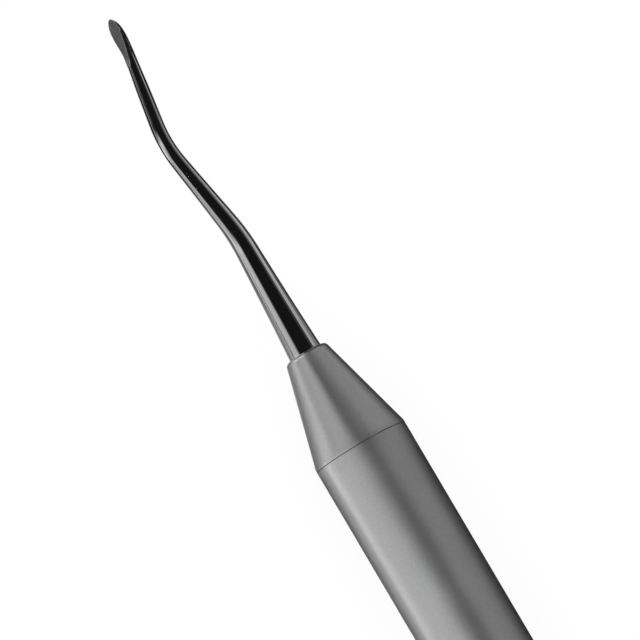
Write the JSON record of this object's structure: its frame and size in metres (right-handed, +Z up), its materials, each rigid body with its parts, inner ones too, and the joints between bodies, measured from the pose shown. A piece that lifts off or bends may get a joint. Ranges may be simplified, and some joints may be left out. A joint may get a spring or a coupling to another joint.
{
  "type": "periodontal tunneling instrument",
  "caption": "Slim surgical hand instrument: a bent, tapering shank with a small ground leaf blade, set in a turned nose cone on a plain round handle.",
  "frame": {"origin": "middle of the footprint of the lying instrument, on the surface it lies on", "axes": "+X along the handle's axis towards the tip, +Z up"},
  "size_m": [0.1636, 0.0094, 0.0095],
  "materials": {
    "polished_steel": "mirror-polished stainless steel, with a ground face on the blade",
    "satin_steel": "satin stainless steel, finely bead-blasted"
  },
  "bodies": {
    "root": {"working_tip": "polished_steel", "nose_cone": "satin_steel", "handle_tube": "satin_steel", "end_plug": "satin_steel"}
  },
  "joints": []
}
